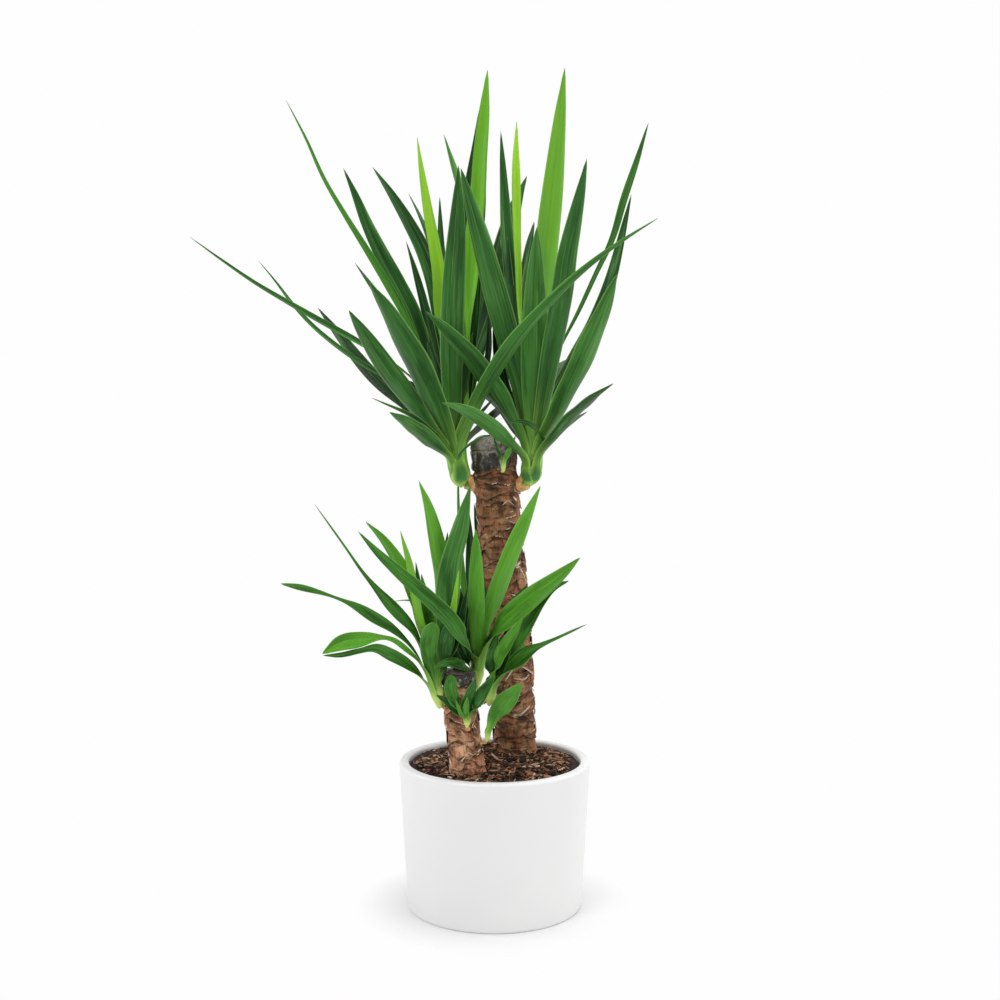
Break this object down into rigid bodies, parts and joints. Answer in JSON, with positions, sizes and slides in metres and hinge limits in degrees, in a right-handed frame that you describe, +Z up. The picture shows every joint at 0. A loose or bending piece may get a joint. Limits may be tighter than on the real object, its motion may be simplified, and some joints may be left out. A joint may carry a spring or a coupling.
{
  "type": "potted yucca",
  "caption": "Free-standing house plant: two upright bark-covered canes with crowns of sword-shaped leaves, standing in mulch in a round white pot.",
  "frame": {"origin": "middle of the pot's flat underside", "axes": "+Z up along the pot's axis, -Y towards the side that the fuller front leaves face, +X to the right seen from there"},
  "size_m": [0.5171, 0.5112, 0.9601],
  "materials": {
    "pot_glaze": "smooth white satin glaze",
    "bark_mulch": "rough dark bark chips and fibres",
    "bark": "rough brown bark with leaf scars",
    "seal_wax": "dark grey wax, satin",
    "green_stem": "pale green sheathed stem",
    "leaf": "satin green leaf blade with fine lengthwise veins"
  },
  "bodies": {
    "root": {"bud_upper_front": "green_stem", "pot": "pot_glaze", "shoot_lower_back": "green_stem", "shoot_lower_back_leaf_01": "leaf", "shoot_lower_back_leaf_02": "leaf", "shoot_lower_back_leaf_03": "leaf", "shoot_lower_back_leaf_04": "leaf", "shoot_lower_left": "green_stem", "shoot_lower_left_leaf_01": "leaf", "shoot_lower_left_leaf_02": "leaf", "shoot_lower_left_leaf_03": "leaf", "shoot_lower_left_leaf_04": "leaf", "shoot_lower_left_leaf_05": "leaf", "shoot_lower_left_leaf_06": "leaf", "shoot_lower_left_leaf_07": "leaf", "shoot_lower_left_leaf_08": "leaf", "shoot_lower_right": "green_stem", "shoot_lower_right_leaf_01": "leaf", "shoot_lower_right_leaf_02": "leaf", "shoot_upper_left": "green_stem", "shoot_upper_left_leaf_01": "leaf", "shoot_upper_left_leaf_02": "leaf", "shoot_upper_left_leaf_03": "leaf", "shoot_upper_left_leaf_04": "leaf", "shoot_upper_left_leaf_05": "leaf", "shoot_upper_left_leaf_06": "leaf", "shoot_upper_left_leaf_07": "leaf", "shoot_upper_left_leaf_08": "leaf", "shoot_upper_left_leaf_09": "leaf", "shoot_upper_left_leaf_10": "leaf", "shoot_upper_left_leaf_11": "leaf", "shoot_upper_left_leaf_12": "leaf", "shoot_upper_left_leaf_13": "leaf", "shoot_upper_left_leaf_14": "leaf", "shoot_upper_left_leaf_15": "leaf", "shoot_upper_left_leaf_16": "leaf", "shoot_upper_right": "green_stem", "shoot_upper_right_leaf_01": "leaf", "shoot_upper_right_leaf_02": "leaf", "shoot_upper_right_leaf_03": "leaf", "shoot_upper_right_leaf_04": "leaf", "shoot_upper_right_leaf_05": "leaf", "shoot_upper_right_leaf_06": "leaf", "shoot_upper_right_leaf_07": "leaf", "shoot_upper_right_leaf_08": "leaf", "shoot_upper_right_leaf_09": "leaf", "shoot_upper_right_leaf_10": "leaf", "shoot_upper_right_leaf_11": "leaf", "shoot_upper_right_leaf_12": "leaf", "shoot_upper_right_leaf_13": "leaf", "shoot_upper_right_leaf_14": "leaf", "shoot_upper_right_leaf_15": "leaf", "short_cane": "bark", "short_cane_seal": "seal_wax", "soil": "bark_mulch", "sprout_lower_front": "green_stem", "sprout_lower_side": "green_stem", "sprout_lower_side_leaf_01": "leaf", "tall_cane": "bark", "tall_cane_seal": "seal_wax"}
  },
  "joints": []
}
